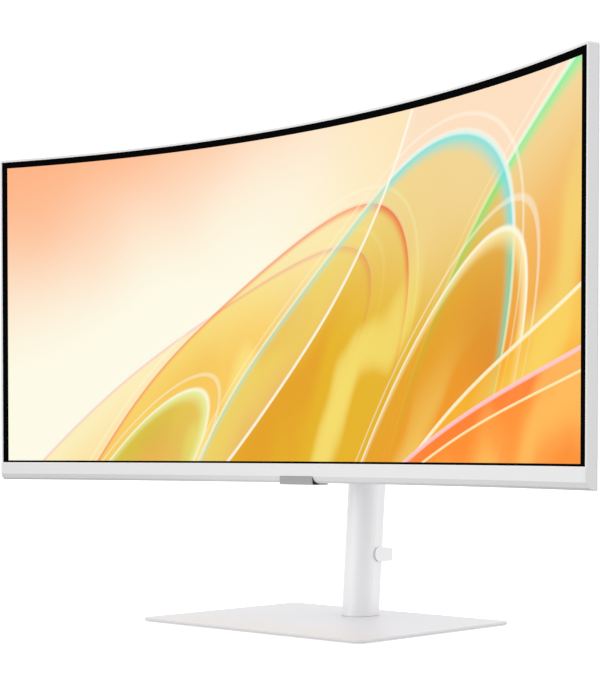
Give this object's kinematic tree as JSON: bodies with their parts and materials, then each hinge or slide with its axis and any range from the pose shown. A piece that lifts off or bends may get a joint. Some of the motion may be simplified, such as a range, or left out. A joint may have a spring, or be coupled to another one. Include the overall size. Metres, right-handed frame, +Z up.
{
  "type": "computer monitor",
  "caption": "Curved ultrawide desktop monitor in white, with slim black borders, on a raked column and flat base that swivels, slides in height and tilts.",
  "frame": {"origin": "centre of the base on the desk plane", "axes": "+X to the viewer's right, the screen faces -Y, +Z up"},
  "size_m": [0.802, 0.235, 0.5111],
  "materials": {
    "white_plastic": "fine matt texture, white",
    "white_satin": "satin white",
    "white_steel": "satin white powder coat",
    "screen": "anti-glare film over a lit picture",
    "black_gloss": "black printed film",
    "silver": "silver paint",
    "black_plastic": "black moulded plastic",
    "grey_plastic": "light grey moulded plastic",
    "clear_acrylic": "translucent optical sheet",
    "white_film": "white reflective film",
    "aluminium": "mill finish",
    "zinc_steel": "zinc plated",
    "spring_steel": "bright steel",
    "board_green": "solder mask",
    "component_black": "moulded component bodies",
    "acetal": "natural acetal",
    "rubber": "matt rubber"
  },
  "bodies": {
    "base": {"base_plate": "white_steel", "base_feet": "rubber", "swivel_spindle": "zinc_steel", "swivel_washers": "acetal", "swivel_nut": "zinc_steel"},
    "column": {"column_profile": "zinc_steel", "column_front_cover": "white_satin", "column_rear_cover": "white_satin", "column_top_cap": "white_satin", "spring_tape": "spring_steel", "cable_clip": "white_satin"},
    "slider": {"carriage": "zinc_steel", "glide_pads": "acetal", "hinge_cover": "white_plastic", "spring_pin": "zinc_steel"},
    "lift_spring": {"spring_drum": "spring_steel"},
    "head": {"lcd_panel": "screen", "border_mask": "black_gloss", "diffuser_sheet": "clear_acrylic", "prism_sheet": "clear_acrylic", "light_guide": "clear_acrylic", "reflector_sheet": "white_film", "led_bar": "aluminium", "middle_frame": "black_plastic", "panel_chassis": "aluminium", "front_frame": "white_plastic", "chin": "white_plastic", "front_tab": "silver", "tab_housing": "black_plastic", "rear_cover": "white_plastic", "board_bracket": "zinc_steel", "vesa_nuts": "zinc_steel", "main_board": "board_green", "power_board": "board_green", "source_board": "board_green", "main_board_parts": "component_black", "power_board_parts": "component_black", "board_standoffs": "zinc_steel", "port_tray": "white_plastic", "hdmi_port": "zinc_steel", "display_port": "zinc_steel", "usb_c_port": "zinc_steel", "usb_a_ports": "zinc_steel", "lan_port": "zinc_steel", "headphone_jack": "black_plastic", "ac_inlet": "black_plastic", "rear_cover_screws": "spring_steel", "key_board": "board_green", "jog_switch": "black_plastic", "quick_release_plate": "zinc_steel", "tilt_bracket": "zinc_steel", "tilt_shaft": "zinc_steel", "tilt_nut": "zinc_steel", "friction_washers": "zinc_steel"},
    "release": {"release_button": "white_plastic"},
    "jog_press": {"jog_stem": "grey_plastic"},
    "jog_side": {"jog_gimbal": "black_plastic"},
    "jog_tip": {"jog_cap": "grey_plastic"},
    "base_screw": {"thumb_screw": "zinc_steel"},
    "screw_ring": {"thumb_ring": "zinc_steel"}
  },
  "joints": [
    {"name": "swivel", "type": "hinge", "parent": "base", "child": "column", "pos_m": [0, 0.0583, 0.005], "axis": [0, 0, 1], "range_deg": [-30, 30]},
    {"name": "height", "type": "slide", "parent": "column", "child": "slider", "axis": [0, 0.0732, 0.9973], "range_m": [-0.07, 0.05]},
    {"name": "tilt", "type": "hinge", "parent": "slider", "child": "head", "pos_m": [0, 0.03, 0.3347], "axis": [-1, 0, 0], "range_deg": [-5, 22]},
    {"name": "spring_roll", "type": "hinge", "parent": "slider", "child": "lift_spring", "pos_m": [0, 0.07967, 0.2977], "axis": [1, 0, 0], "range_deg": [-465, 650]},
    {"name": "release_slide", "type": "slide", "parent": "head", "child": "release", "axis": [0, 0, -1], "range_m": [0, 0.004], "stiffness_N_per_m": 600, "springref_m": -0.002},
    {"name": "jog_push", "type": "slide", "parent": "head", "child": "jog_press", "axis": [0, 0, 1], "range_m": [0, 0.0008], "stiffness_N_per_m": 1500, "springref_m": -0.0006},
    {"name": "jog_left_right", "type": "hinge", "parent": "jog_press", "child": "jog_side", "pos_m": [0.0085, -0.0148, 0.15234], "axis": [0, 1, 0], "range_deg": [-3, 3], "stiffness_Nm_per_rad": 0.12},
    {"name": "jog_front_back", "type": "hinge", "parent": "jog_side", "child": "jog_tip", "pos_m": [0.0085, -0.0148, 0.15234], "axis": [1, 0, 0], "range_deg": [-3, 3], "stiffness_Nm_per_rad": 0.12},
    {"name": "screw_turn", "type": "hinge", "parent": "base", "child": "base_screw", "pos_m": [0, 0.0583, 0.0017], "axis": [0, 0, 1], "continuous": true},
    {"name": "ring_fold", "type": "hinge", "parent": "base_screw", "child": "screw_ring", "pos_m": [0, 0.0583, 0.0017], "axis": [1, 0, 0], "range_deg": [0, 90]}
  ],
  "couplings": [
    {"joint": "spring_roll", "follows": "height", "rad_per_m": -161.29}
  ]
}
